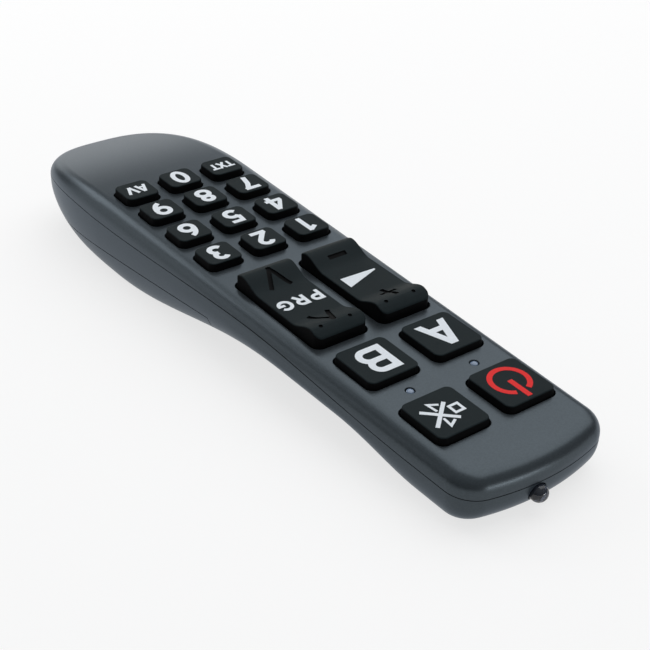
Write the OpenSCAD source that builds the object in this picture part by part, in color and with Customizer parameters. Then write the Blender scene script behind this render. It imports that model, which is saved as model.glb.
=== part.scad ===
// Universal remote control: a long handset with rubber keys and two rockers in a slim two-part case,
// a battery bulge with its own door at the tail and an infrared lamp at the nose.
// The case is drawn with its flat deck at z = 0, x to the user's right and y towards the nose, with
// y = 0 at the last row of keys. It is then set down as it lies on a table, with z = 0 at the table.

/* [Case outline] */
// Half width of the case where the tail starts to round off
tail_half_w = 28.6; // [28:0.1:32]
// Half width of the case at the nose
nose_half_w = 24.6; // [24.5:0.1:28]
// Length of the rounded tail
tail_len = 53; // [48:0.5:60]
// Fullness of the tail's curve, 2 for an ellipse
tail_power = 2.9; // [2.4:0.1:3.4]
// How far the deck falls at the end of the tail
tail_fall = 8.5; // [6:0.1:9]
// Length from the start of the rounded tail to the front of the nose
side_len = 177.4; // [176.6:0.1:200]
// Distance from the last row of keys back to the start of the rounded tail
tail_start = 7.7; // [6:0.1:8.4]
// Radius of the shallow arc across the nose
nose_arc_r = 72; // [60:1:120]
// Radius of the nose corners
nose_corner_r = 8.8; // [8.4:0.1:10]
// Radius of the edge between the deck and the sides
rim_r = 5; // [3:0.1:5.2]
// Radius of the same edge inside the case
rim_inner_r = 0.8; // [0.5:0.1:1.5]
// Height of the upright band of the sides, below the deck
side_band = 7; // [6:0.1:7.6]
// Thickness of the case walls
shell_t = 2; // [1.6:0.1:2.4]

/* [Underside] */
// Length over which the battery bulge fades into the slim waist
bulge_fade = 93; // [88:1:105]
// Room between the circuit board and the floor of the waist
waist_room = 3.8; // [3.4:0.1:6]
// Extra depth of the nose below the waist
nose_drop = 4.2; // [3:0.1:5.5]
// Distance from the front over which the nose deepens
nose_fade = 52; // [46:1:60]
// Distance from the front to the deepest line of the nose
nose_foot = 22.5; // [18:0.5:26]
// How far the lower edge rounds in from the sides
side_round = 5.4; // [4.4:0.1:6]
// How far the lower edge rounds in from the tail
tail_round = 20.5; // [16:0.5:26]
// How far the lower edge rounds in from the nose
nose_round = 8.4; // [6.4:0.1:10]
// Distance of the rest pad's middle from the last row of keys
rest_y = 8; // [4:0.5:12]
// Depth of the two flats that the handset lies on
rest_flat = 0.4; // [0.2:0.05:0.8]

/* [Seam] */
// Depth of the seam between the case halves at the tail
seam_tail = 7.1; // [6.6:0.1:7.4]
// How much further the seam falls round the end of the tail
seam_fall = 6; // [5:0.1:7]
// Depth of the seam at its highest point
seam_crown = 3.3; // [3.1:0.1:4.2]
// Depth of the seam at the nose
seam_nose = 5.8; // [5.4:0.1:6]
// Distance of the seam's highest point from the last row of keys
seam_crown_y = 82; // [70:1:100]
// Open width of the seam
seam_gap = 0.2; // [0.1:0.05:0.4]

/* [Number keys] */
// Distance between the columns of number keys
key_pitch_x = 16; // [14.8:0.1:17]
// Distance between the rows of number keys
key_pitch_y = 16.2; // [14.5:0.1:16.6]
// Distance between the last row and the row above it
last_pitch_y = 15.3; // [14.2:0.1:16]
// Width of a number key across its top
key_w = 11.2; // [9:0.1:12]
// Length of a number key across its top
key_l = 10.6; // [9:0.1:11.4]
// Corner radius of a number key
key_corner = 2; // [1.5:0.1:4]
// Height of a number key above the deck
key_rise = 2.3; // [1.5:0.1:3]
// How much a number key widens on each side from its top to the deck
key_draft = 0.15; // [0.05:0.05:0.5]
// Radius of the edge round the top of a key
key_edge = 0.35; // [0.2:0.05:0.7]
// Travel of a key
key_travel = 0.9; // [0.5:0.05:1]
// Gap between a key and the case round it
key_gap = 0.5; // [0.35:0.05:0.6]

/* [Large keys] */
// Side of a large key across its top
big_key = 16.4; // [15:0.1:17]
// Corner radius of a large key and of a rocker
big_corner = 2; // [1.5:0.1:4]
// Height of a large key above the deck
big_rise = 1.9; // [1.3:0.1:2.6]
// How much a large key widens on each side from its top to the deck
big_draft = 0.2; // [0.1:0.05:0.8]
// Distance between the two columns of large keys and rockers
big_pitch_x = 22.4; // [21.8:0.1:23]
// Distance of the first row of large keys from the last row of number keys
big_row_y = 116.2; // [114:0.1:119]
// Distance between the two rows of large keys
big_pitch_y = 27; // [23:0.1:27.5]

/* [Rockers] */
// Length of a rocker
rocker_l = 39.6; // [34:0.1:41]
// Width of a rocker
rocker_w = 17.2; // [15:0.1:17.8]
// Distance of the rockers' middle from the last row of number keys
rocker_y = 82; // [80:0.1:83]
// Height of the rocker's ends above the deck
rocker_rise = 4.6; // [4:0.1:6]
// Height of the rocker's short edges above the deck
rocker_edge = 2.8; // [2:0.1:3.4]
// Depth of the hollow in the middle of a rocker, below its ends
rocker_dip = 2.6; // [1:0.1:3]
// Tilt of a rocker to either side
rocker_tilt = 2; // [1:0.1:2.4]
// Gap between a rocker and the case round it
rocker_gap = 0.7; // [0.65:0.05:0.9]
// Diameter of the round rib that a rocker tilts on
rocker_rib_d = 1.6; // [1.2:0.1:1.8]

/* [Keypad and circuit board] */
// Thickness of the keypad's web
web_t = 1; // [0.8:0.1:1.1]
// How far a key's foot reaches under the deck
foot_reach = 0.6; // [0.4:0.05:0.65]
// Gap between a moving foot and the web
foot_gap = 0.35; // [0.3:0.05:0.4]
// Slack between the deck and the feet of the keys
foot_slack = 0.3; // [0.25:0.05:0.35]
// Width of the keypad's rim
mat_rim = 2.2; // [1.5:0.1:3]
// Diameter of a key's carbon pill
pill_d = 5; // [3:0.1:6]
// Thickness of a carbon pill
pill_t = 0.5; // [0.3:0.05:0.6]
// Gap left between a pressed pill and the circuit board
pill_gap = 0.2; // [0.1:0.05:0.4]
// Thickness of the circuit board
board_t = 1.2; // [0.8:0.1:1.6]
// Gap between the circuit board and the case walls
board_gap = 0.5; // [0.4:0.05:0.6]

/* [Lamps] */
// Diameter of the infrared lamp
lamp_d = 5; // [4.6:0.1:5.4]
// Length of the infrared lamp that stands out of the nose
lamp_out = 2.6; // [2.5:0.1:5]
// Depth of the lamp's axis below the deck
lamp_depth = 9.1; // [9:0.1:10]
// Distance of the lamp from the middle, to the user's right
lamp_x = 3.4; // [0:0.1:5]
// Distance of the lamp's flange behind the nose's inner wall
lamp_seat = 1.2; // [1:0.1:2]
// Gap round the lamp in the nose
lamp_gap = 0.25; // [0.15:0.05:0.4]
// Diameter of the small indicator windows
window_d = 2.2; // [1.6:0.1:3]
// Distance between the two indicator windows
window_pitch = 22; // [18:0.5:26]
// Gap round an indicator window
window_gap = 0.1; // [0.05:0.05:0.2]

/* [Batteries] */
// Diameter of a cell
cell_d = 10.5; // [10:0.1:11]
// Length of a cell without its nub
cell_l = 43.5; // [42:0.1:45]
// Diameter of a cell's nub
nub_d = 3.8; // [3:0.1:4.5]
// Length of a cell's nub
nub_l = 1; // [0.8:0.1:1.4]
// Gap between the cells, and between a cell and its bay
cell_gap = 0.4; // [0.3:0.05:0.8]
// Room between the cells and the battery door
cell_room = 4.8; // [4.4:0.1:6]
// Room for parts under the circuit board, above the battery bay
part_room = 1.8; // [1.6:0.1:3]
// Thickness of the battery bay's walls
bay_t = 1.4; // [1.2:0.1:1.8]
// Thickness of the contact plates
contact_t = 0.4; // [0.3:0.05:0.5]
// Spring travel of a contact's leaf
leaf_out = 1.6; // [1.2:0.1:2.4]
// Distance from the last row of keys back to the tail end of the cells
cell_back = 26; // [24:0.5:27]

/* [Battery door] */
// Slope of the door's edge along the sides, in degrees
door_slope = 6; // [5.6:0.1:6.4]
// Depth of the door's edge level with the last row of keys
door_depth = 17.7; // [17.2:0.1:18.2]
// Distance of the door's front edge from the last row of number keys
door_front = 58; // [54:0.5:62]
// Gap along the door's edges
door_gap = 0.3; // [0.25:0.05:0.5]
// Width of one of the two tongues that hold the door's front edge
tongue_w = 7; // [5:0.5:9]
// Distance between the two tongues' middles
tongue_pitch = 24; // [18:0.5:26]
// How far a tongue reaches over the floor of the case
tongue_reach = 3; // [2:0.1:4]
// Thickness of a tongue, and of the ribs that guide the door
tongue_t = 1.2; // [1:0.1:1.6]
// Gap round the tongues and guide ribs
slide_gap = 0.4; // [0.35:0.05:0.5]
// How far the guide ribs stand above the door's edge
rib_rise = 2.4; // [1.5:0.1:3]
// Length of the guide ribs
rib_l = 36; // [20:1:38]

/* [Screws] */
// Diameter of a case screw's thread
screw_d = 1.9; // [1.7:0.05:2.1]
// Diameter of a case screw's head
screw_head_d = 4; // [3.6:0.1:4.4]
// Height of a case screw's head
screw_head_h = 1.4; // [1.2:0.1:1.6]
// Gap round a screw's thread
screw_gap = 0.1; // [0.05:0.05:0.15]
// Wall round a screw's pilot hole
boss_t = 1.4; // [1.2:0.1:1.6]
// Distance between the two screws
screw_pitch = 36; // [34:0.5:38]
// Distance from the last row of keys back to the screws
screw_back = 14; // [12.5:0.5:15]
// Width of the clips that hold the nose together
clip_w = 6; // [4:0.5:8]
// Thickness of the clips
clip_t = 1.2; // [1:0.1:1.6]
// Distance between the two clips' middles
clip_pitch = 26; // [20:0.5:28]

/* [Hidden] */
$fn = 48;
eps = 0.01;
over = 1;
far = 400;

// Keys by name: column, row and whether it is large.
KEYS = [
  ["key_txt", -1, 0, false], ["key_0", 0, 0, false], ["key_av", 1, 0, false],
  ["key_7", -1, 1, false], ["key_8", 0, 1, false], ["key_9", 1, 1, false],
  ["key_4", -1, 2, false], ["key_5", 0, 2, false], ["key_6", 1, 2, false],
  ["key_1", -1, 3, false], ["key_2", 0, 3, false], ["key_3", 1, 3, false],
  ["key_a", -0.5, 0, true], ["key_b", 0.5, 0, true],
  ["key_power", -0.5, 1, true], ["key_mute", 0.5, 1, true]
];
ROCKERS = [["rocker_volume", -0.5], ["rocker_program", 0.5]];
FIXED = [
  "top_shell", "bottom_shell", "battery_door", "keypad_mat", "circuit_board", "ir_lamp",
  "indicator_window_left", "indicator_window_right", "indicator_chip_left", "indicator_chip_right",
  "controller_chip", "resonator", "capacitor", "contact_plus", "contact_minus", "contact_link",
  "battery_cell_left", "battery_cell_right", "case_screws"
];

SHELL_COLOUR = [0.33, 0.37, 0.41];
RUBBER_COLOUR = [0.15, 0.18, 0.19];

// Levels below the deck, from the keys' feet down to the battery bulge.
foot_top = shell_t + foot_slack;
foot_bottom = foot_top + web_t;
pill_bottom = foot_bottom + pill_t;
board_top = pill_bottom + key_travel + pill_gap;
board_bottom = board_top + board_t;
tray_top = board_bottom + part_room;
tray_bottom = tray_top + bay_t;
cell_axis = tray_bottom + cell_gap + cell_d / 2;
bulge_depth = cell_axis + cell_d / 2 + cell_room + shell_t;
waist_depth = board_bottom + waist_room + shell_t;
nose_depth = waist_depth + nose_drop;

// Places along the case.
tail_y = -tail_start;
front_y = tail_y + side_len;
corner_y = front_y - nose_arc_r
  + sqrt(pow(nose_arc_r - nose_corner_r, 2) - pow(nose_half_w - nose_corner_r, 2));
corner_turn = atan2(corner_y - front_y + nose_arc_r, nose_half_w - nose_corner_r);
nose_low_y = front_y - nose_foot;
nose_rest_y = front_y - nose_round;
tail_tip = tail_y - tail_len;
window_y = big_row_y + big_pitch_y / 2;

function ease(t) = let (u = min(max(t, 0), 1)) u * u * (3 - 2 * u);
function mix(a, b, t) = a + (b - a) * t;

// Level of the deck, which falls away behind the last row of keys.
function deck(y) = -tail_fall * pow(min(y, 0) / tail_tip, 2);

// Depth of the underside along the case.
function depth(y) =
  mix(bulge_depth, waist_depth, ease(y / bulge_fade))
  + nose_drop * ease((y - front_y + nose_fade) / (nose_fade - nose_foot));

// Depth of the seam along the case.
function seam(y) = y < seam_crown_y
  ? mix(seam_crown, seam_tail, ease((seam_crown_y - y) / (seam_crown_y - tail_y)))
    + seam_fall * pow(max(tail_y - y, 0) / tail_len, 3)
  : mix(seam_crown, seam_nose, ease((y - seam_crown_y) / (nose_low_y - seam_crown_y)));

// A ring round the case: the outline drawn in by different amounts at the sides, the tail and the nose,
// at a level that follows the length. The right half runs from tail to nose.
TAIL_STEPS = 12;
SIDE_STEPS = 17;
CORNER_STEPS = 5;
FRONT_STEPS = 4;
tail_bend = 2 / tail_power;
function half_w(y) = mix(tail_half_w, nose_half_w, (y - tail_y) / (corner_y - tail_y));
function ring(side_in, tail_in, nose_in, level) =
  let (back = nose_in - side_in, corner = nose_corner_r - side_in, arc = nose_arc_r - side_in)
  let (right = concat(
    [for (i = [0:TAIL_STEPS]) let (a = 90 * i / TAIL_STEPS)
      [(tail_half_w - side_in) * pow(sin(a), tail_bend),
       tail_y - (tail_len - tail_in) * pow(cos(a), tail_bend)]],
    [for (i = [1:SIDE_STEPS]) let (y = mix(tail_y, corner_y - back, i / SIDE_STEPS))
      [half_w(y) - side_in, y]],
    [for (i = [1:CORNER_STEPS]) let (a = corner_turn * i / CORNER_STEPS)
      [nose_half_w - nose_corner_r + corner * cos(a), corner_y - back + corner * sin(a)]],
    [for (i = [1:FRONT_STEPS]) let (a = mix(corner_turn, 90, i / FRONT_STEPS))
      [max(arc * cos(a), 0), front_y - nose_arc_r - back + arc * sin(a)]]))
  let (last = len(right) - 1)
  [for (i = [0:2 * last - 1])
    let (p = i <= last ? right[i] : right[2 * last - i])
    [i <= last ? p[0] : -p[0], p[1], level(p[1])]];

// The body inside a wall of thickness t, as rings from the deck's edge to the underside's edge.
function body_rings(t, rim_steps, low_steps) =
  let (r = t > 0 ? rim_inner_r : rim_r)
  concat(
    [for (i = [0:rim_steps]) let (a = 90 * i / rim_steps)
      let (d = t + r * (1 - sin(a)))
      ring(d, d, d, function(y) deck(y) - t - r * (1 - cos(a)))],
    [for (i = [0:low_steps]) let (a = 90 * i / low_steps)
      ring(t + side_round * (1 - cos(a)), t + tail_round * (1 - cos(a)), t + nose_round * (1 - cos(a)),
        function(y) mix(deck(y) - side_band, t - depth(y), sin(a)))]
  );

// A closed solid from rings of equal length, its two ends closed by strips across the case.
module loft(rings) {
  n = len(rings[0]);
  half = n / 2;
  top = len(rings) - 1;
  sides = [for (k = [0:top - 1], i = [0:n - 1]) let (j = (i + 1) % n)
    each [[k * n + i, k * n + j, (k + 1) * n + j], [k * n + i, (k + 1) * n + j, (k + 1) * n + i]]];
  function strip(at, turn) = [for (i = [0:half - 1])
    let (a = at + i, b = at + i + 1, c = at + (n - i - 1) % n, d = at + (n - i) % n)
    each [if (i < half - 1) (turn ? [a, c, b] : [a, b, c]), if (i > 0) (turn ? [a, d, c] : [a, c, d])]];
  polyhedron([for (r = rings) each r], concat(sides, strip(0, true), strip(top * n, false)));
}

module outer_body() { loft(body_rings(0, 4, 6)); }
module inner_body() { loft(body_rings(shell_t, 2, 4)); }

// A slab right across the case, from a side view drawn as y and z.
module across(w = far) {
  rotate([90, 0, 90]) linear_extrude(w, center = true) children();
}

// Everything under the seam, lowered by a gap.
SEAM_STEPS = 32;
module under_seam(gap = 0) {
  back = tail_tip - shell_t;
  ahead = front_y + shell_t;
  line = [for (i = [0:SEAM_STEPS]) let (y = mix(back, ahead, i / SEAM_STEPS)) [y, -seam(y) - gap]];
  across() polygon(concat(line, [[ahead, -far], [back, -far]]));
}

// The flats under the bulge and the nose lie in one plane, the table.
rest_z = -depth(rest_y) + rest_flat;
rest_tilt = atan2(-depth(nose_rest_y) + rest_flat - rest_z, nose_rest_y - rest_y);
module table() {
  translate([0, rest_y, rest_z]) rotate([rest_tilt, 0, 0]) translate([-far / 2, -far / 2, -far]) cube(far);
}
module rest_pose() { rotate([-rest_tilt, 0, 0]) translate([0, -rest_y, -rest_z]) children(); }

// The space that the battery door takes, with its edges moved out by gap.
module door_space(gap = 0) {
  translate([0, 0, -door_depth]) rotate([door_slope, 0, 0]) across()
    polygon([[-far / 2, gap], [door_front + gap, gap], [door_front + gap, -far / 2], [-far / 2, -far / 2]]);
}

// Rounded rectangle with true arcs.
module plate2d(w, l, r) {
  square([w - 2 * r, l], center = true);
  square([w, l - 2 * r], center = true);
  for (x = [-1, 1], y = [-1, 1]) translate([x * (w / 2 - r), y * (l / 2 - r)]) circle(r);
}
module plate(w, l, r, low, high) {
  translate([0, 0, low]) linear_extrude(high - low) plate2d(w, l, r);
}

// Places and sizes of the keys.
function key_x(k) = k[1] * (k[3] ? big_pitch_x : key_pitch_x);
function key_y(k) = k[3] ? big_row_y + k[2] * big_pitch_y
  : k[2] == 0 ? 0 : last_pitch_y + (k[2] - 1) * key_pitch_y;
function key_top(k) = k[3] ? [big_key, big_key, big_corner] : [key_w, key_l, key_corner];
function rise(k) = k[3] ? big_rise : key_rise;
function draft(k) = k[3] ? big_draft : key_draft;
function grown(s, d) = [s[0] + 2 * d, s[1] + 2 * d, s[2] + d];
function rocker_top() = [rocker_w, rocker_l, big_corner];
module at_key(k) { translate([key_x(k), key_y(k), 0]) children(); }
module at_rocker(r) { translate([r[1] * big_pitch_x, rocker_y, 0]) children(); }
module sized_plate(s, low, high) { plate(s[0], s[1], s[2], low, high); }

// Openings in the deck and in the keypad's web.
module key_openings(extra, rocker_extra, low, high) {
  for (k = KEYS) at_key(k) sized_plate(grown(key_top(k), draft(k) + extra), low, high);
  for (r = ROCKERS) at_rocker(r) sized_plate(grown(rocker_top(), rocker_extra), low, high);
}

module at_screws() {
  for (x = [-1, 1]) translate([x * screw_pitch / 2, -screw_back, 0]) children();
}
module at_windows() {
  for (x = [-1, 1]) translate([x * window_pitch / 2, window_y, 0]) children();
}
pilot_d = screw_d + 2 * screw_gap;
boss_d = pilot_d + 2 * boss_t;
boss_seat = 0.1;

// Clips hang from the deck behind the nose's front wall and catch the lower half from inside.
clip_low = seam_nose + clip_t;
clip_y = front_y - nose_arc_r + sqrt(pow(nose_arc_r, 2) - pow((clip_pitch + clip_w) / 2, 2))
  - shell_t - slide_gap - clip_t;
module clips() {
  for (x = [-1, 1]) translate([x * clip_pitch / 2 - clip_w / 2, clip_y, -clip_low])
    cube([clip_w, clip_t, clip_low - shell_t + eps]);
}

// Upper half of the case, with the deck, its openings, the screw bosses and the clips.
module top_shell() {
  color(SHELL_COLOUR) difference() {
    union() {
      difference() {
        outer_body();
        inner_body();
        under_seam();
      }
      at_screws() translate([0, 0, -tray_top + boss_seat])
        cylinder(d = boss_d, h = tray_top - boss_seat - shell_t + eps);
      clips();
    }
    key_openings(key_gap, rocker_gap, -shell_t - over, over);
    at_windows() translate([0, 0, -shell_t - over])
      cylinder(d = window_d + 2 * window_gap, h = shell_t + 2 * over);
    at_screws() translate([0, 0, -far]) cylinder(d = pilot_d, h = far - shell_t);
  }
}

// Battery bay: a tray over the cells with walls down both sides and at both ends.
bay_half_w = cell_d + 1.5 * cell_gap;
bay_back = -cell_back - contact_t - leaf_out - nub_l;
bay_front = -cell_back + cell_l + nub_l + leaf_out + contact_t;
bay_low = cell_axis + cell_d / 4;
module bay() {
  difference() {
    translate([-bay_half_w - bay_t, bay_back - bay_t, -bay_low])
      cube([2 * (bay_half_w + bay_t), bay_front - bay_back + 2 * bay_t, bay_low - tray_top]);
    translate([-bay_half_w, bay_back, -bay_low - over])
      cube([2 * bay_half_w, bay_front - bay_back, bay_low - tray_bottom + over]);
  }
}

// The tray's plate runs from wall to wall over the whole bulge.
tray_front = bay_front + bay_t;
module tray_plate() {
  intersection() {
    translate([-far / 2, bay_back - bay_t, -tray_bottom]) cube([far, tray_front - bay_back + bay_t, bay_t]);
    outer_body();
    under_seam(seam_gap);
  }
}

// Posts under the circuit board, on the floor of the waist and on the tray.
post_d = 4;
post_x = 14;
POSTS = [door_front + tongue_reach + post_d, rocker_y + rocker_l / 2 + post_d, nose_low_y - post_d];
module posts() {
  for (y = POSTS, x = [-1, 1])
    translate([x * post_x, y, -depth(y) + shell_t / 2])
      cylinder(d = post_d, h = depth(y) - shell_t / 2 - board_bottom);
  for (x = [-1, 1])
    translate([x * post_x, 0, -tray_top - eps]) cylinder(d = post_d, h = part_room + eps);
}

// Lower half of the case, with the battery bay, the posts and the lamp's hole.
module bottom_shell() {
  color(SHELL_COLOUR) difference() {
    union() {
      intersection() {
        difference() {
          outer_body();
          inner_body();
          table();
          door_space(door_gap);
        }
        under_seam(seam_gap);
      }
      tray_plate();
      bay();
      posts();
    }
    at_screws() translate([0, 0, -tray_bottom - over]) cylinder(d = pilot_d, h = bay_t + 2 * over);
    lamp_hole();
  }
}

// Battery door: the lower skin of the bulge. It slides back along its edge to open. Two tongues reach
// over the floor of the case in front, and two ribs run inside the walls of the lower half.
function floor_z(y) = -depth(y) + shell_t;
rib_front = door_front - tongue_reach;
rib_edge = door_depth - rib_front * tan(door_slope);
rib_bend = asin((rib_edge - side_band) / (depth(rib_front) - shell_t - side_band));
rib_x = half_w(door_front) - shell_t - side_round * (1 - cos(rib_bend)) - slide_gap;
module door_tongue() {
  back = door_front - 2 * tongue_reach;
  tip = door_front + tongue_reach;
  low = floor_z(tip) + slide_gap;
  across(tongue_w) polygon([
    [back, floor_z(back) - shell_t / 2], [door_front, floor_z(door_front) - shell_t / 2],
    [door_front, low], [tip, low], [tip, low + tongue_t], [back, low + tongue_t]]);
}
module door_ribs() {
  foot = 2.5 * rib_rise;
  intersection() {
    translate([0, 0, -door_depth]) rotate([door_slope, 0, 0]) for (x = [-1, 1])
      translate([x * (rib_x - tongue_t / 2) - tongue_t / 2, rib_front - rib_l, -foot])
        cube([tongue_t, rib_l, foot + rib_rise]);
    outer_body();
  }
}
module battery_door() {
  color(SHELL_COLOUR) union() {
    difference() {
      intersection() {
        outer_body();
        door_space();
      }
      inner_body();
      table();
    }
    for (x = [-1, 1]) translate([x * tongue_pitch / 2, 0, 0]) door_tongue();
    door_ribs();
  }
}

// Outline of the circuit board, inside the walls from the last row of keys to the nose.
board_back = -key_l / 2 - key_draft - key_gap - foot_reach - foot_gap - mat_rim;
board_front = corner_y;
function board_half(y) = half_w(y) - shell_t - board_gap;
module board2d(d = 0) {
  polygon([
    [-board_half(board_back) + d, board_back + d], [board_half(board_back) - d, board_back + d],
    [board_half(board_front) - d, board_front - d], [-board_half(board_front) + d, board_front - d]]);
}

// Web of the keypad, clear of the keys' feet, with a rim that stands on the board.
module keypad_mat() {
  color(RUBBER_COLOUR) difference() {
    union() {
      translate([0, 0, -foot_bottom]) linear_extrude(web_t) board2d();
      translate([0, 0, -board_top]) linear_extrude(board_top - foot_top) difference() {
        board2d();
        board2d(mat_rim);
      }
    }
    key_openings(key_gap + foot_reach + foot_gap, rocker_gap + foot_reach + foot_gap, -board_top - over, 0);
    at_windows() translate([0, 0, -far / 2]) cylinder(d = window_d + 2 * foot_reach + 2 * foot_gap, h = far);
  }
}

module circuit_board() {
  color([0.12, 0.35, 0.2]) translate([0, 0, -board_bottom]) linear_extrude(board_t) board2d();
}

// One push key: a tapered cap over a straight stem, with a wider foot under the deck.
module key(k) {
  top = key_top(k);
  base = grown(top, draft(k));
  thin = 0.05;
  color(RUBBER_COLOUR) at_key(k) {
    hull() {
      sized_plate(grown(top, -key_edge), rise(k) - thin, rise(k), $fn = 32);
      sized_plate(top, rise(k) - key_edge - thin, rise(k) - key_edge, $fn = 32);
      sized_plate(base, 0, thin, $fn = 32);
    }
    sized_plate(base, -foot_top - eps, thin);
    sized_plate(grown(base, key_gap + foot_reach), -foot_bottom, -foot_top);
  }
}

module key_pill(k) {
  color([0.05, 0.05, 0.05]) at_key(k)
    translate([0, 0, -pill_bottom]) cylinder(d = pill_d, h = pill_t);
}

// Side view of a rocker's top: two raised ends with a flat hollow between, sloping down to both short
// edges. The place along the rocker runs from -1 to 1.
ROCKER_STEPS = 28;
rocker_crest = 0.82;
rocker_slope = 0.42;
function rocker_level(t) =
  let (past = max(abs(t) - rocker_crest, 0) / (1 - rocker_crest))
  mix(rocker_rise, rocker_edge, pow(past, 1.6))
  - rocker_dip * ease((rocker_crest - abs(t)) / rocker_slope);
rocker_foot_l = 8;
rocker_axis = -board_top + rocker_rib_d / 2 + foot_gap;
pill_reach = 0.36;
module rocker(r) {
  body = rocker_top();
  line = [for (i = [0:ROCKER_STEPS]) let (t = 2 * i / ROCKER_STEPS - 1) [t * rocker_l / 2, rocker_level(t)]];
  color(RUBBER_COLOUR) at_rocker(r) {
    intersection() {
      sized_plate(body, -foot_bottom, rocker_rise + over);
      across() polygon(concat(line, [[rocker_l / 2, -foot_bottom], [-rocker_l / 2, -foot_bottom]]));
    }
    plate(rocker_w + 2 * (rocker_gap + foot_reach), rocker_foot_l, web_t, -foot_bottom, -foot_top);
    translate([0, 0, rocker_axis]) rotate([0, 90, 0]) cylinder(d = rocker_rib_d, h = rocker_w, center = true);
    translate([-rocker_w / 2, -rocker_rib_d / 4, rocker_axis])
      cube([rocker_w, rocker_rib_d / 2, -foot_bottom - rocker_axis + web_t / 2]);
  }
}

module rocker_pills(r) {
  color([0.05, 0.05, 0.05]) at_rocker(r) for (y = [-1, 1])
    translate([0, y * pill_reach * rocker_l, -pill_bottom]) cylinder(d = pill_d, h = pill_t);
}

// Infrared lamp: a domed barrel with a flange behind the nose wall and two legs up to the board.
lamp_tip = front_y + lamp_out;
lamp_back = front_y - shell_t - lamp_seat;
leg_d = 0.6;
leg_pitch = 2.54;
flange_t = 1;
flange_reach = 0.5;
leg_back = board_front - 2;
module lamp_hole() {
  translate([lamp_x, lamp_back - eps, -lamp_depth]) rotate([-90, 0, 0])
    cylinder(d = lamp_d + 2 * lamp_gap, h = lamp_tip - lamp_back);
  translate([lamp_x, nose_low_y, -lamp_depth]) rotate([-90, 0, 0])
    cylinder(d = lamp_d + 2 * (flange_reach + lamp_gap), h = lamp_back - nose_low_y);
}
module ir_lamp() {
  color([0.2, 0.18, 0.22]) translate([lamp_x, 0, -lamp_depth]) {
    translate([0, lamp_back, 0]) rotate([-90, 0, 0])
      cylinder(d = lamp_d, h = lamp_tip - lamp_d / 2 - lamp_back);
    translate([0, lamp_tip - lamp_d / 2, 0]) sphere(d = lamp_d);
    translate([0, lamp_back - flange_t, 0]) rotate([-90, 0, 0])
      cylinder(d = lamp_d + 2 * flange_reach, h = flange_t + eps);
    for (x = [-1, 1]) translate([x * leg_pitch / 2, 0, 0]) {
      translate([-leg_d / 2, leg_back - leg_d / 2, -leg_d / 2])
        cube([leg_d, lamp_back - flange_t - leg_back + leg_d, leg_d]);
      translate([-leg_d / 2, leg_back - leg_d / 2, -leg_d / 2])
        cube([leg_d, leg_d, lamp_depth - board_bottom + leg_d / 2]);
    }
  }
}

// Indicator windows in the deck, and the small lamps under them on the board.
window_proud = 0.1;
indicator = [1.6, 0.8, 0.6];
window_side = [[-1, "left"], [1, "right"]];
module indicator_window(side) {
  low = board_top - indicator[2] - 0.1;
  color([0.6, 0.68, 0.8]) translate([side * window_pitch / 2, window_y, 0]) {
    translate([0, 0, -low]) cylinder(d = window_d, h = low + window_proud);
    translate([0, 0, -foot_bottom]) cylinder(d = window_d + 2 * foot_reach, h = web_t);
  }
}
module indicator_chip(side) {
  color([0.85, 0.85, 0.8])
    translate([side * window_pitch / 2 - indicator[0] / 2, window_y - indicator[1] / 2, -board_top])
      cube(indicator);
}

// Parts soldered under the board, over the waist.
chip = [10, 10, 1.4];
crystal = [7, 3.4, 2.6];
can_d = 4;
can_h = 3;
module controller_chip() {
  color([0.08, 0.08, 0.09])
    translate([-chip[0] / 2, big_row_y - chip[1] / 2, -board_bottom - chip[2]]) cube(chip);
}
module resonator() {
  color([0.75, 0.6, 0.3])
    translate([chip[0], big_row_y - crystal[1] / 2, -board_bottom - crystal[2]]) cube(crystal);
}
module capacitor() {
  color([0.2, 0.25, 0.4])
    translate([-chip[0] * 1.3, big_row_y, -board_bottom - can_h]) cylinder(d = can_d, h = can_h);
}

// A cell lies along the case, its nub towards the nose or the tail.
cell_x = (cell_d + cell_gap) / 2;
cell_front = -cell_back + cell_l;
module battery_cell(side) {
  ahead = side < 0;
  color([0.2, 0.32, 0.45]) translate([side * cell_x, 0, -cell_axis]) {
    translate([0, -cell_back, 0]) rotate([-90, 0, 0]) cylinder(d = cell_d, h = cell_l);
    translate([0, ahead ? cell_front - eps : -cell_back - nub_l, 0]) rotate([-90, 0, 0])
      cylinder(d = nub_d, h = nub_l + eps);
  }
}

// Contact plates stand against the bay's end walls. A leaf meets the flat end of a cell, a plain
// plate meets the nub, and a tab runs up through the tray to the board.
plate_w = cell_d * 0.8;
plate_h = cell_d * 0.7;
tab_w = 2.4;
module contact_plate(x, reach, ahead) {
  wall = ahead ? bay_front - contact_t : bay_back;
  translate([x - plate_w / 2, wall, -cell_axis - plate_h / 2]) cube([plate_w, contact_t, plate_h]);
  translate([x - tab_w / 2, ahead ? wall - reach : wall, -cell_axis - contact_t])
    cube([tab_w, reach + contact_t, 2 * contact_t]);
  translate([x - plate_w / 4, ahead ? wall - reach : wall + reach, -cell_axis - plate_h / 4])
    cube([plate_w / 2, contact_t, plate_h / 2]);
}
leaf_reach = leaf_out + nub_l - contact_t;
nub_reach = leaf_out - contact_t;
module contact_tab(x) {
  translate([x - tab_w / 2, bay_front - contact_t, -cell_axis])
    cube([tab_w, contact_t, cell_axis - tray_bottom]);
}
module contact_plus() {
  color([0.75, 0.75, 0.72]) {
    contact_plate(-cell_x, nub_reach, true);
    contact_tab(-cell_x);
  }
}
module contact_minus() {
  color([0.75, 0.75, 0.72]) {
    contact_plate(cell_x, leaf_reach, true);
    contact_tab(cell_x);
  }
}
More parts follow.
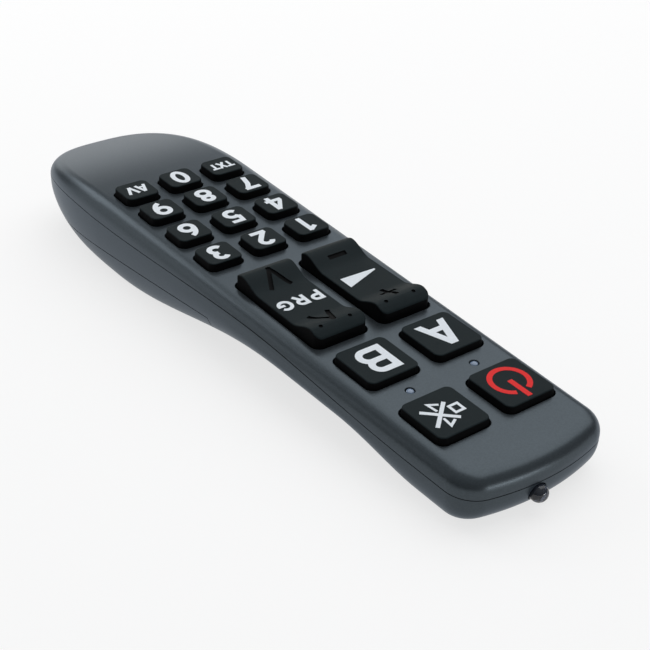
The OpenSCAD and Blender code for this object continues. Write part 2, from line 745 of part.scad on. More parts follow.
module contact_link() {
  color([0.75, 0.75, 0.72]) {
    contact_plate(-cell_x, leaf_reach, false);
    contact_plate(cell_x, nub_reach, false);
    translate([-cell_x, bay_back, -cell_axis - plate_h / 4]) cube([2 * cell_x, contact_t, plate_h / 2]);
  }
}

// Two screws hold the case halves together from inside the battery bulge.
module case_screws() {
  color([0.6, 0.6, 0.58]) at_screws() {
    translate([0, 0, -tray_bottom - screw_head_h]) cylinder(d = screw_head_d, h = screw_head_h);
    translate([0, 0, -tray_bottom - eps]) cylinder(d = screw_d, h = tray_bottom - shell_t - 1);
  }
}

rest_pose() top_shell();
rest_pose() bottom_shell();
rest_pose() battery_door();
rest_pose() keypad_mat();
rest_pose() circuit_board();
rest_pose() ir_lamp();
rest_pose() controller_chip();
rest_pose() resonator();
rest_pose() capacitor();
rest_pose() contact_plus();
rest_pose() contact_minus();
rest_pose() contact_link();
rest_pose() battery_cell(-1);  // battery_cell_left
rest_pose() battery_cell(1);  // battery_cell_right
rest_pose() case_screws();
for (s = window_side) {
  rest_pose() indicator_window(s[0]);
  rest_pose() indicator_chip(s[0]);
}
for (k = KEYS) {
  rest_pose() key(k);
  rest_pose() key_pill(k);
}
for (r = ROCKERS) {
  rest_pose() rocker(r);
  rest_pose() rocker_pills(r);
}
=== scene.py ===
import math

import bmesh
import bpy
import numpy as np
from mathutils import Matrix, Vector, geometry


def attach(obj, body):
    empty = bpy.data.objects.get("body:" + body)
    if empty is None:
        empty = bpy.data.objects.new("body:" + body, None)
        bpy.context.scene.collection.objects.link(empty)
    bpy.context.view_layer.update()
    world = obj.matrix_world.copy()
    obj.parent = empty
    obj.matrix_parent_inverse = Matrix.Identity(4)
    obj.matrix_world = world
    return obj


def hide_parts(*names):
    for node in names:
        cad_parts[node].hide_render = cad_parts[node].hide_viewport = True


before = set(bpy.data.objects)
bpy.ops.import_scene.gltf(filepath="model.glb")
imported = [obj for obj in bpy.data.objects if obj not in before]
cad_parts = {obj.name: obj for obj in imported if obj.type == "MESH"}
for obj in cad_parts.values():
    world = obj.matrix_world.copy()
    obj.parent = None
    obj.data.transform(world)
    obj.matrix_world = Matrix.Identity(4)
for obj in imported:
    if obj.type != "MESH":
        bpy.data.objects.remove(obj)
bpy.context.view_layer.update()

# The case body: a slim handset whose two moulded halves and battery door are cut from one form, with a
# full round tail, a shallow arc across the nose, a flat deck that falls away at the tail, and an underside
# that swells over the cells. It is drawn in millimetres, x to the user's right and y towards the nose.
TAIL_HALF_W = 28.6
NOSE_HALF_W = 24.6
TAIL_LEN = 53.0
TAIL_BEND = 2 / 2.9
TAIL_FALL = 8.5
TAIL_Y = -7.7
TAIL_TIP = TAIL_Y - TAIL_LEN
FRONT_Y = 169.7
NOSE_ARC = 72.0
NOSE_CORNER = 8.8
RIM_R = 5.0
RIM_INNER_R = 0.8
SIDE_BAND = 7.0
WALL = 2.0
BULGE_DEPTH = 27.0
BULGE_FADE = 93.0
WAIST_DEPTH = 11.9
NOSE_DROP = 4.2
NOSE_FADE = 52.0
NOSE_FOOT = 22.5
SIDE_ROUND = 5.4
TAIL_ROUND = 20.5
NOSE_ROUND = 8.4
CORNER_Y = FRONT_Y - NOSE_ARC + math.sqrt((NOSE_ARC - NOSE_CORNER) ** 2 - (NOSE_HALF_W - NOSE_CORNER) ** 2)
CORNER_TURN = math.atan2(CORNER_Y - FRONT_Y + NOSE_ARC, NOSE_HALF_W - NOSE_CORNER)


def ease(t):
    u = np.clip(t, 0, 1)
    return u * u * (3 - 2 * u)


def mix(a, b, t):
    return a + (b - a) * t


def deck(y):
    return -TAIL_FALL * (np.minimum(y, 0) / TAIL_TIP) ** 2


def depth(y):
    nose = NOSE_DROP * ease((y - FRONT_Y + NOSE_FADE) / (NOSE_FADE - NOSE_FOOT))
    return mix(BULGE_DEPTH, WAIST_DEPTH, ease(y / BULGE_FADE)) + nose


def half_width(y):
    return mix(TAIL_HALF_W, NOSE_HALF_W, (y - TAIL_Y) / (CORNER_Y - TAIL_Y))


def half_ring(side_in, tail_in, nose_in, level, steps):
    """Right half of the outline, tail to nose, drawn in by these amounts, at a level along the length."""
    tail_n, side_n, corner_n, front_n = steps
    back = nose_in - side_in
    a = np.linspace(0, math.pi / 2, tail_n + 1)
    tail = np.c_[(TAIL_HALF_W - side_in) * np.abs(np.sin(a)) ** TAIL_BEND,
                 TAIL_Y - (TAIL_LEN - tail_in) * np.abs(np.cos(a)) ** TAIL_BEND]
    y = np.linspace(TAIL_Y, CORNER_Y - back, side_n + 1)[1:]
    side = np.c_[half_width(y) - side_in, y]
    a = np.linspace(0, CORNER_TURN, corner_n + 1)[1:]
    r = NOSE_CORNER - side_in
    corner = np.c_[NOSE_HALF_W - NOSE_CORNER + r * np.cos(a), CORNER_Y - back + r * np.sin(a)]
    a = np.linspace(CORNER_TURN, math.pi / 2, front_n + 1)[1:]
    r = NOSE_ARC - side_in
    front = np.c_[np.maximum(r * np.cos(a), 0), FRONT_Y - NOSE_ARC - back + r * np.sin(a)]
    plan = np.vstack([tail, side, corner, front])
    return np.c_[plan, level(plan[:, 1])]


def body_rings(wall, detail):
    """Rings from the deck to the underside, drawn in by a wall and stepped as detail says."""
    rim_n, low_n, steps = detail
    r = RIM_INNER_R if wall else RIM_R
    rings = []
    for a in np.linspace(0, math.pi / 2, rim_n + 1):
        d = wall + r * (1 - math.sin(a))
        drop = wall + r * (1 - math.cos(a))
        rings.append(half_ring(d, d, d, lambda y, drop=drop: deck(y) - drop, steps))
    for a in np.linspace(0, math.pi / 2, low_n + 1):
        k = 1 - math.cos(a)
        s = math.sin(a)
        rings.append(half_ring(wall + SIDE_ROUND * k, wall + TAIL_ROUND * k, wall + NOSE_ROUND * k,
                               lambda y, s=s: mix(deck(y) - SIDE_BAND, wall - depth(y), s), steps))
    return rings


WELD = 1e-5


def mould(name, points, faces, marks=None):
    """A closed mesh in millimetres, with its normals out. Marks are the faces' material numbers."""
    mesh = bpy.data.meshes.new(name)
    mesh.from_pydata([tuple(p) for p in points], [], [tuple(int(i) for i in f) for f in faces])
    if marks is not None:
        mesh.polygons.foreach_set("material_index", marks)
    work = bmesh.new()
    work.from_mesh(mesh)
    bmesh.ops.remove_doubles(work, verts=work.verts, dist=WELD)
    bmesh.ops.recalc_face_normals(work, faces=work.faces)
    work.to_mesh(mesh)
    work.free()
    piece = bpy.data.objects.new(name, mesh)
    bpy.context.scene.collection.objects.link(piece)
    return piece


def skin(name, halves, at=(0, 0, 0), face_from=None):
    """A closed skin over rings given by their right halves, with its second finish from one ring on."""
    m = len(halves[0])
    n = 2 * m
    points = []
    for half in halves:
        points.extend(half)
        points.extend(half[::-1] * np.array([-1, 1, 1]))
    faces = []
    marks = []
    for k in range(len(halves) - 1):
        for i in range(n):
            j = (i + 1) % n
            faces.append((k * n + i, k * n + j, (k + 1) * n + j, (k + 1) * n + i))
            marks.append(int(face_from is not None and k >= face_from))
    for k in (0, len(halves) - 1):
        for i in range(m - 1):
            faces.append((k * n + i, k * n + i + 1, k * n + n - 2 - i, k * n + n - 1 - i))
            marks.append(int(face_from is not None and k > 0))
    return mould(name, np.array(points) + np.array(at), faces, marks)


def block(name, low, high):
    (x0, y0, z0), (x1, y1, z1) = low, high
    points = [(x, y, z) for x in (x0, x1) for y in (y0, y1) for z in (z0, z1)]
    faces = [(0, 1, 3, 2), (4, 5, 7, 6), (0, 1, 5, 4), (2, 3, 7, 6), (0, 2, 6, 4), (1, 3, 7, 5)]
    return mould(name, points, faces)


def combine(piece, tool, operation):
    """Cuts a piece with a tool, joins them or keeps what they share; the tool is used up."""
    step = piece.modifiers.new("cut", "BOOLEAN")
    step.object = tool
    step.operation = operation
    step.solver = "MANIFOLD"
    shape = bpy.data.meshes.new_from_object(piece.evaluated_get(bpy.context.evaluated_depsgraph_get()))
    piece.modifiers.clear()
    piece.data = shape
    bpy.data.objects.remove(tool)
    return piece


# The handset rests on two small flats, one under the bulge and one under the nose.
METRES = 0.001
REST_Y = 8.0
REST_FLAT = 0.4
NOSE_REST_Y = FRONT_Y - NOSE_ROUND
REST_Z = REST_FLAT - depth(REST_Y)
REST_TILT = math.atan2(REST_FLAT - depth(NOSE_REST_Y) - REST_Z, NOSE_REST_Y - REST_Y)
ON_TABLE = (Matrix.Scale(METRES, 4) @ Matrix.Rotation(-REST_TILT, 4, "X")
            @ Matrix.Translation((0, -REST_Y, -REST_Z)))


def coat(piece, *finishes):
    """Sets the finishes on a piece and keeps which face has which."""
    slots = piece.data.materials
    for i, finish in enumerate(finishes):
        if i < len(slots):
            slots[i] = finish
        else:
            slots.append(finish)
    return piece


CASE_CREASE = 32.0
SOFT_CREASE = 50.0


def fit(piece, body, slot, *finishes, replaces=(), sharp=CASE_CREASE):
    """Sets a piece down with the case on the table, gives it its finish and lets it ride on its body."""
    piece.data.transform(ON_TABLE)
    piece.data.shade_smooth()
    piece.data.set_sharp_from_angle(angle=math.radians(sharp))
    coat(piece, *finishes)
    shade = piece.modifiers.new("shade", "WEIGHTED_NORMAL")
    shade.keep_sharp = True
    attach(piece, body)
    if replaces:
        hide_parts(*replaces)


# Steps round the rim, down the flank, and along the tail, side, corner and front of the outline.
FINE = (10, 18, (44, 56, 14, 12))
PLAIN = (3, 8, (24, 30, 8, 6))
FAR = 150.0


def outer_body():
    return skin("body", body_rings(0.0, FINE))


def inner_body():
    return skin("hollow", body_rings(WALL, PLAIN))


SEAM_TAIL = 7.1
SEAM_FALL = 6.0
SEAM_CROWN = 3.3
SEAM_NOSE = 5.8
SEAM_CROWN_Y = 82.0
SEAM_GAP = 0.25
SEAM_STEPS = 160


def seam(y):
    rear = (mix(SEAM_CROWN, SEAM_TAIL, ease((SEAM_CROWN_Y - y) / (SEAM_CROWN_Y - TAIL_Y)))
            + SEAM_FALL * (np.maximum(TAIL_Y - y, 0) / TAIL_LEN) ** 3)
    ahead = mix(SEAM_CROWN, SEAM_NOSE, ease((y - SEAM_CROWN_Y) / (FRONT_Y - NOSE_FOOT - SEAM_CROWN_Y)))
    return np.where(y < SEAM_CROWN_Y, rear, ahead)


def under_seam(gap):
    """Everything below the seam, as one tool right across the case."""
    y = np.linspace(TAIL_TIP - WALL, FRONT_Y + WALL, SEAM_STEPS)
    reach = np.full_like(y, 2 * TAIL_HALF_W)
    lip = np.c_[reach, y, -seam(y) - gap]
    base = np.c_[reach, y, np.full_like(y, -FAR)]
    return skin("seam_tool", [lip, base])


class Wire:
    """A value on its way through the nodes of a finish. Arithmetic on wires adds Math nodes."""

    def __init__(self, tree, socket=None):
        self.tree = tree
        self.socket = socket

    def node(self, kind, settings, sockets, out=0):
        made = self.tree.nodes.new("ShaderNode" + kind)
        for key, value in settings.items():
            setattr(made, key, value)
        for key, value in sockets.items():
            if isinstance(value, Wire):
                self.tree.links.new(value.socket, made.inputs[key])
            else:
                made.inputs[key].default_value = value
        return Wire(self.tree, made.outputs[out] if made.outputs else None)

    def math(self, operation, a, b):
        return self.node("Math", {"operation": operation}, {0: a, 1: b})

    def __add__(self, other):
        return self.math("ADD", self, other)

    def __radd__(self, other):
        return self.math("ADD", other, self)

    def __mul__(self, other):
        return self.math("MULTIPLY", self, other)

    def __rmul__(self, other):
        return self.math("MULTIPLY", other, self)


def new_finish(name):
    material = bpy.data.materials.new(name)
    material.use_nodes = True
    material.node_tree.nodes.clear()
    return material, Wire(material.node_tree)


def place_on(start):
    return start.node("TexCoord", {}, {}, "Object")


def speckle(start, place, scale, detail=2.0):
    return start.node("TexNoise", {}, {"Vector": place, "Scale": scale, "Detail": detail})


def blend_colours(start, share, a, b):
    return start.node("Mix", {"data_type": "RGBA"}, {0: share, 6: a, 7: b}, 2)


def surface(start, sockets):
    shader = start.node("BsdfPrincipled", {}, sockets)
    start.node("OutputMaterial", {}, {"Surface": shader})


def satin_paint():
    """Satin blue-grey paint with fine metal flake, sprayed over the moulded case."""
    finish, start = new_finish("satin_paint")
    place = place_on(start)
    flake = start.node("TexVoronoi", {"feature": "F1"}, {"Vector": place, "Scale": 3200.0}, 1)
    glint = start.node("SeparateColor", {}, {0: flake})
    cloud = speckle(start, place, 30.0, 3.0)
    grain = speckle(start, place, 1500.0, 3.0)
    share = glint * 0.3 + grain * 0.4 + cloud * 0.3
    colour = blend_colours(start, share, (0.052, 0.063, 0.071, 1), (0.079, 0.095, 0.107, 1))
    bump = start.node("Bump", {}, {"Strength": 0.02, "Distance": 0.00005, "Height": grain + glint * 0.4})
    surface(start, {"Base Color": colour, "Metallic": 0.7, "Roughness": 0.28 + grain * 0.06,
                    "Specular IOR Level": 0.2, "Specular Tint": (0.70, 0.75, 0.82, 1), "Normal": bump})
    return finish


paint = satin_paint()

# The upper half of the case is one thin moulding. Its deck has an opening for each key and rocker, with
# a soft rounded lip, and two small holes for the indicator windows. It meets the lower half at the seam,
# and under it hang two screw bosses near the tail and two clips behind the nose's front wall.
KEY_PITCH_X = 16.0
KEY_ROWS = (0.0, 15.3, 31.5, 47.7)
KEY_SIZE = (11.2, 10.6, 2.0)
KEY_DRAFT = 0.15
KEY_RISE = 2.3
BIG_X = 11.2
BIG_ROWS = (116.2, 143.2)
BIG_SIZE = (16.4, 16.4, 2.0)
BIG_DRAFT = 0.2
BIG_RISE = 1.9
KEY_GAP = 0.5
ROCKER_SIZE = (17.2, 39.6, 2.0)
ROCKER_Y = 82.0
ROCKER_GAP = 0.7
WINDOW_X = 11.0
WINDOW_Y = (BIG_ROWS[0] + BIG_ROWS[1]) / 2
WINDOW_R = 1.1
WINDOW_GAP = 0.25
WINDOW_CHAMFER = 0.12
LIP_R = 0.2
TRAY_TOP = 7.9
SCREW_X = 18.0
SCREW_Y = -14.0
PILOT_R = 1.05
BOSS_R = 2.45
BOSS_SEAT = 0.1
SLIDE_GAP = 0.4
CLIP_X = 13.0
CLIP_W = 6.0
CLIP_T = 1.2
CLIP_LOW = SEAM_NOSE + CLIP_T
CLIP_REACH = math.sqrt(NOSE_ARC ** 2 - (CLIP_X + CLIP_W / 2) ** 2)
CLIP_Y = FRONT_Y - NOSE_ARC + CLIP_REACH - WALL - SLIDE_GAP - CLIP_T
EDGE_TURN = np.linspace(0, math.pi / 2, 7)
KEYS = {
    "key_txt": (-1, 0), "key_0": (0, 0), "key_av": (1, 0),
    "key_7": (-1, 1), "key_8": (0, 1), "key_9": (1, 1),
    "key_4": (-1, 2), "key_5": (0, 2), "key_6": (1, 2),
    "key_1": (-1, 3), "key_2": (0, 3), "key_3": (1, 3),
}
BIG_KEYS = {"key_a": (-1, 0), "key_b": (1, 0), "key_power": (-1, 1), "key_mute": (1, 1)}
ROCKERS = {"rocker_volume": -1, "rocker_program": 1}


def grown(size, d):
    """Width, length and corner radius of a plate, each side moved out by d."""
    return size[0] + 2 * d, size[1] + 2 * d, size[2] + d


def half_plate(size, level, arc_n=8, side_n=1):
    """Right half of a rounded rectangle, from its near short edge to its far one."""
    w, l, r = size
    a = np.linspace(-math.pi / 2, 0, arc_n + 1)
    near = np.c_[w / 2 - r + r * np.cos(a), r - l / 2 + r * np.sin(a)]
    y = np.linspace(r - l / 2, l / 2 - r, side_n + 1)[1:-1]
    side = np.c_[np.full_like(y, w / 2), y]
    plan = np.vstack([near, side, near[::-1] * np.array([1, -1])])
    z = level(plan[:, 1]) if callable(level) else np.full(len(plan), level)
    return np.c_[plan, z]


def half_circle(r, level, n=12):
    a = np.linspace(-math.pi / 2, math.pi / 2, n + 1)
    return np.c_[r * np.cos(a), r * np.sin(a), np.full(n + 1, level)]


def rod(name, r, low, high, at):
    """An upright round rod between two levels."""
    return skin(name, [half_circle(r, low), half_circle(r, high)], at)


def pilot(side, low, high):
    """A tool for a screw's hole on one side, between two levels."""
    return rod("pilot", PILOT_R, low, high, (side * SCREW_X, SCREW_Y, 0))


def opening(size, at):
    """A tool for an opening in the deck, flared at the top by the lip's radius."""
    rings = [half_plate(size, -2 * WALL)]
    for a in EDGE_TURN:
        rings.append(half_plate(grown(size, LIP_R * (1 - math.cos(a))), LIP_R * (math.sin(a) - 1)))
    rings.append(half_plate(grown(size, LIP_R), 2 * WALL))
    return skin("opening", rings, at)


top_shell = outer_body()
top_shell.name = "top_shell_moulding"
combine(top_shell, inner_body(), "DIFFERENCE")
combine(top_shell, under_seam(0.0), "DIFFERENCE")
key_opening = grown(KEY_SIZE, KEY_DRAFT + KEY_GAP)
for column, row in KEYS.values():
    combine(top_shell, opening(key_opening, (column * KEY_PITCH_X, KEY_ROWS[row], 0)), "DIFFERENCE")
big_opening = grown(BIG_SIZE, BIG_DRAFT + KEY_GAP)
for column, row in BIG_KEYS.values():
    combine(top_shell, opening(big_opening, (column * BIG_X, BIG_ROWS[row], 0)), "DIFFERENCE")
for column in ROCKERS.values():
    combine(top_shell, opening(grown(ROCKER_SIZE, ROCKER_GAP), (column * BIG_X, ROCKER_Y, 0)), "DIFFERENCE")
window_hole_r = WINDOW_R + WINDOW_GAP
for side in (-1, 1):
    hole = skin("hole", [half_circle(window_hole_r, -2 * WALL), half_circle(window_hole_r, -WINDOW_CHAMFER),
                         half_circle(window_hole_r + WINDOW_CHAMFER, 0.0),
                         half_circle(window_hole_r + WINDOW_CHAMFER, WALL)],
                (side * WINDOW_X, WINDOW_Y, 0))
    combine(top_shell, hole, "DIFFERENCE")
    boss = rod("boss", BOSS_R, BOSS_SEAT - TRAY_TOP, -WALL / 2, (side * SCREW_X, SCREW_Y, 0))
    combine(top_shell, boss, "UNION")
    combine(top_shell, pilot(side, -FAR, -WALL), "DIFFERENCE")
    clip = block("clip", (side * CLIP_X - CLIP_W / 2, CLIP_Y, -CLIP_LOW),
                 (side * CLIP_X + CLIP_W / 2, CLIP_Y + CLIP_T, -WALL / 2))
    combine(top_shell, clip, "UNION")
fit(top_shell, "case", "case", paint, replaces=["top_shell"])

# The lower half of the case carries the battery bay: a tray over the two cells with a wall down each side
# and at both ends, and posts under the circuit board. It is moulded in one piece, painted as the upper
# half is, and has the lamp's hole in its nose.
DOOR_SLOPE = math.radians(6.0)
DOOR_DEPTH = 17.7
DOOR_FRONT = 58.0
DOOR_GAP = 0.3
DOOR_PLANE = Matrix.Translation((0, 0, -DOOR_DEPTH)) @ Matrix.Rotation(DOOR_SLOPE, 4, "X")
BAY_HALF_W = 11.1
BAY_WALL = 1.4
BAY_BACK = -29.0
BAY_FRONT = 20.5
BAY_LOW = 17.575
TRAY_BOTTOM = 9.3
LAMP_X = 3.4
LAMP_DEPTH = 9.1
LAMP_R = 2.5
LAMP_GAP = 0.25
LAMP_SEAT = 1.2
LAMP_BACK = FRONT_Y - WALL - LAMP_SEAT
FLANGE_REACH = 0.5
BOARD_LOW = 6.1
TONGUE_REACH = 3.0
POST_R = 2.0
POST_X = 14.0
POST_ROWS = (DOOR_FRONT + TONGUE_REACH + 2 * POST_R, ROCKER_Y + ROCKER_SIZE[1] / 2 + 2 * POST_R,
             FRONT_Y - NOSE_FOOT - 2 * POST_R)
STEP_IN = 0.4
STEP_GAP = 0.02


def table_tool():
    tool = block("table", (-FAR, -2 * FAR, -FAR), (FAR, 2 * FAR, 0))
    tool.data.transform(Matrix.Translation((0, REST_Y, REST_Z)) @ Matrix.Rotation(REST_TILT, 4, "X"))
    return tool


def door_tool(gap):
    tool = block("door_space", (-FAR, -FAR, -FAR), (FAR, DOOR_FRONT + gap, gap))
    tool.data.transform(DOOR_PLANE)
    return tool


def mid_wall():
    """The form at half the wall's thickness, where what is joined to the wall from inside ends."""
    return skin("mid_wall", body_rings(WALL / 2, PLAIN))


def door_step():
    """A step in the joint that the door's front edge slides up to, set in from the outside of the case."""
    step = skin("step", body_rings(STEP_IN, PLAIN))
    combine(step, mid_wall(), "DIFFERENCE")
    reach = block("reach", (-FAR, DOOR_FRONT + STEP_GAP, -FAR), (FAR, DOOR_FRONT + 2 * DOOR_GAP, 0))
    reach.data.transform(DOOR_PLANE)
    return combine(step, reach, "INTERSECT")


bottom_shell = outer_body()
bottom_shell.name = "bottom_shell_moulding"
combine(bottom_shell, inner_body(), "DIFFERENCE")
combine(bottom_shell, table_tool(), "DIFFERENCE")
combine(bottom_shell, door_tool(DOOR_GAP), "DIFFERENCE")
combine(bottom_shell, under_seam(SEAM_GAP), "INTERSECT")
tray = block("tray", (-FAR, BAY_BACK - BAY_WALL, -TRAY_BOTTOM), (FAR, BAY_FRONT + BAY_WALL, -TRAY_TOP))
combine(tray, mid_wall(), "INTERSECT")
combine(bottom_shell, tray, "UNION")
bay = block("bay", (-BAY_HALF_W - BAY_WALL, BAY_BACK - BAY_WALL, -BAY_LOW),
            (BAY_HALF_W + BAY_WALL, BAY_FRONT + BAY_WALL, -TRAY_TOP))
bay_room = block("bay_room", (-BAY_HALF_W, BAY_BACK, -FAR), (BAY_HALF_W, BAY_FRONT, -TRAY_BOTTOM))
combine(bay, bay_room, "DIFFERENCE")
combine(bottom_shell, bay, "UNION")
combine(bottom_shell, door_step(), "UNION")
post_feet = [(y, WALL / 2 - depth(y)) for y in POST_ROWS] + [(0.0, -(TRAY_TOP + TRAY_BOTTOM) / 2)]
for side in (-1, 1):
    for y, low in post_feet:
        combine(bottom_shell, rod("post", POST_R, low, -BOARD_LOW, (side * POST_X, y, 0)), "UNION")
    combine(bottom_shell, pilot(side, -TRAY_BOTTOM - WALL, WALL - TRAY_TOP), "DIFFERENCE")


def half_disc(r, y, n=32):
    """Right half of an upright ring round the lamp's axis."""
    a = np.linspace(-math.pi / 2, math.pi / 2, n + 1)
    return np.c_[r * np.cos(a), np.full(n + 1, y), r * np.sin(a) - LAMP_DEPTH]


lamp_hole_r = LAMP_R + LAMP_GAP
lamp_hole = skin("lamp_hole", [half_disc(lamp_hole_r + FLANGE_REACH, FRONT_Y - NOSE_FOOT),
                               half_disc(lamp_hole_r + FLANGE_REACH, LAMP_BACK),
                               half_disc(lamp_hole_r, LAMP_BACK),
                               half_disc(lamp_hole_r, FRONT_Y + WALL)], (LAMP_X, 0, 0))
combine(bottom_shell, lamp_hole, "DIFFERENCE")
fit(bottom_shell, "case", "case", paint, replaces=["bottom_shell"])

# The battery door is the lower skin of the bulge, a painted moulding that slides back off the case. Two
# tongues hook over the floor of the case in front, two ribs guide it, and grooves give the thumb a grip.
TONGUE_W = 7.0
TONGUE_X = 12.0
TONGUE_T = 1.2
RIB_FRONT = DOOR_FRONT - TONGUE_REACH
RIB_L = 36.0
RIB_RISE = 2.4
RIB_FOOT = 2.5 * RIB_RISE
RIB_DROP = DOOR_DEPTH - RIB_FRONT * math.tan(DOOR_SLOPE) - SIDE_BAND
RIB_BEND = math.asin(RIB_DROP / (depth(RIB_FRONT) - WALL - SIDE_BAND))
RIB_X = half_width(DOOR_FRONT) - WALL - SIDE_ROUND * (1 - math.cos(RIB_BEND)) - SLIDE_GAP - TONGUE_T / 2
GRIP_ROWS = (30.0, 33.0, 36.0, 39.0, 42.0)
GRIP_W = 22.0
GRIP_R = 0.8
GRIP_DEEP = 0.35
GRIP_SIDES = 24


def round_bar(name, half_l, r, y, z, n):
    """A round bar of n sides that lies across the case."""
    a = np.linspace(0, 2 * math.pi, n + 1)[:-1]
    points = [(x, y + r * math.cos(t), z + r * math.sin(t)) for x in (-half_l, half_l) for t in a]
    faces = [(i, (i + 1) % n, n + (i + 1) % n, n + i) for i in range(n)]
    return mould(name, points, faces + [tuple(range(n)), tuple(range(n, 2 * n))])


door = outer_body()
door.name = "battery_door_moulding"
combine(door, door_tool(0.0), "INTERSECT")
combine(door, inner_body(), "DIFFERENCE")
combine(door, table_tool(), "DIFFERENCE")
tongue_low = WALL - depth(DOOR_FRONT + TONGUE_REACH) + SLIDE_GAP
tongue_back = DOOR_FRONT - 2 * TONGUE_REACH
for side in (-1, 1):
    tongue = block("tongue", (side * TONGUE_X - TONGUE_W / 2, tongue_back, WALL / 2 - depth(tongue_back)),
                   (side * TONGUE_X + TONGUE_W / 2, DOOR_FRONT, tongue_low + TONGUE_T))
    hook = block("hook", (side * TONGUE_X - TONGUE_W / 2, tongue_back, tongue_low),
                 (side * TONGUE_X + TONGUE_W / 2, DOOR_FRONT + TONGUE_REACH, tongue_low + TONGUE_T))
    combine(door, combine(tongue, hook, "UNION"), "UNION")
    rib = block("rib", (side * RIB_X - TONGUE_T / 2, RIB_FRONT - RIB_L, -RIB_FOOT),
                (side * RIB_X + TONGUE_T / 2, RIB_FRONT, RIB_RISE))
    rib.data.transform(DOOR_PLANE)
    combine(door, combine(rib, mid_wall(), "INTERSECT"), "UNION")
for y in GRIP_ROWS:
    low = -depth(y) - GRIP_R + GRIP_DEEP
    combine(door, round_bar("groove", GRIP_W / 2, GRIP_R, y, low, GRIP_SIDES), "DIFFERENCE")
fit(door, "battery_door", "case", paint, replaces=["battery_door"])

# The keys are caps of one silicone keypad. Each has a flat satin face with a soft edge, near-black sides
# that spread towards the deck, and a wider foot that keeps it under the deck. The sides are darker than the
# face partly as black silicone and partly as painted shade for the unlit sides and the gap round them.
FOOT_REACH = 0.6
FOOT_TOP = 2.3
FOOT_BOTTOM = 3.3
KEY_EDGE = 0.35


def key_face_rubber():
    """Lacquered silicone: dark grey, satin, with a faint mottle from the mould."""
    finish, start = new_finish("key_face_rubber")
    place = place_on(start)
    grain = speckle(start, place, 1400.0, 4.0)
    cloud = speckle(start, place, 160.0)
    share = grain * 0.6 + cloud * 0.4
    colour = blend_colours(start, share, (0.005, 0.010, 0.012, 1), (0.014, 0.022, 0.025, 1))
    bump = start.node("Bump", {}, {"Strength": 0.2, "Distance": 0.00008, "Height": grain})
    surface(start, {"Base Color": colour, "Roughness": 0.55 + grain * 0.2,
                    "Specular IOR Level": 0.1, "Normal": bump})
    return finish


def shaded_key_side_rubber():
    """Black silicone below the lacquered face, darkened further as painted shade for the unlit sides and
    the gap round them.
    """
    finish, start = new_finish("shaded_key_side_rubber")
    grain = speckle(start, place_on(start), 900.0, 3.0)
    # Painted shade: this near-black colour darkens the sides beyond the silicone's own black, standing in
    # for the shade on them.
    colour = blend_colours(start, grain, (0.002, 0.002, 0.0025, 1), (0.006, 0.0065, 0.007, 1))
    surface(start, {"Base Color": colour, "Roughness": 0.6 + grain * 0.2, "Specular IOR Level": 0.06})
    return finish


face_rubber = key_face_rubber()
shaded_side_rubber = shaded_key_side_rubber()


def key_cap(name, size, draft, rise, at):
    base = grown(size, draft)
    foot = grown(base, KEY_GAP + FOOT_REACH)
    rings = [half_plate(foot, -FOOT_BOTTOM), half_plate(foot, -FOOT_TOP),
             half_plate(base, -FOOT_TOP), half_plate(base, 0.0)]
    face_from = len(rings) + 1
    for a in EDGE_TURN:
        inset = KEY_EDGE * (1 - math.cos(a))
        rings.append(half_plate(grown(size, -inset), rise - KEY_EDGE * (1 - math.sin(a))))
    cap = skin(name + "_cap", rings, at, face_from)
    fit(cap, name, "key_rubber", shaded_side_rubber, face_rubber, replaces=[name], sharp=SOFT_CREASE)


for name, (column, row) in KEYS.items():
    key_cap(name, KEY_SIZE, KEY_DRAFT, KEY_RISE, (column * KEY_PITCH_X, KEY_ROWS[row], 0))
for name, (column, row) in BIG_KEYS.items():
    key_cap(name, BIG_SIZE, BIG_DRAFT, BIG_RISE, (column * BIG_X, BIG_ROWS[row], 0))

# The legends are screen printed on the keys: bold white figures and letters, a white icon and a red one.
# Each print is a thin film on its key, drawn as strokes in millimetres from the key's middle.
FILM = 0.04
SUNK = 0.05
INK_WORN = 0.86


def printed_ink(name, colour):
    """Opaque matt ink, a little uneven as it was pulled through the screen."""
    finish, start = new_finish(name)
    grain = speckle(start, place_on(start), 1200.0, 3.0)
    worn = tuple(INK_WORN * c for c in colour)
    shade = blend_colours(start, grain, (*worn, 1), (*colour, 1))
    surface(start, {"Base Color": shade, "Roughness": 0.55 + grain * 0.2, "Specular IOR Level": 0.12})
    return finish


white_ink = printed_ink("white_ink", (0.86, 0.91, 0.96))
red_ink = printed_ink("red_ink", (0.84, 0.035, 0.035))


def stroke(points, width):
    """Outline of a stroke with flat ends and mitred bends."""
    p = np.asarray(points, float)
    d = np.diff(p, axis=0)
    d /= np.linalg.norm(d, axis=1)[:, None]
    side = np.c_[-d[:, 1], d[:, 0]]
    bend = side[:-1] + side[1:]
    bend /= (1 + (side[:-1] * side[1:]).sum(1))[:, None]
    out = np.vstack([side[:1], bend, side[-1:]]) * width / 2
    return np.vstack([p + out, (p - out)[::-1]])


def arc(x, y, rx, ry, start, end, n=20):
    a = np.radians(np.linspace(start, end, n + 1))
    return np.c_[x + rx * np.cos(a), y + ry * np.sin(a)]


def loop(x, y, rx, ry, width):
    return [stroke(arc(x, y, rx, ry, 0, 180), width), stroke(arc(x, y, rx, ry, 180, 360), width)]


def bar(x0, y0, x1, y1):
    return np.array([(x0, y0), (x1, y0), (x1, y1), (x0, y1)])


def turn(shape):
    """Twice the area of an outline, above 0 if it runs anticlockwise."""
    ahead = np.roll(shape, -1, axis=0)
    return (shape[:, 0] * ahead[:, 1] - shape[:, 1] * ahead[:, 0]).sum()


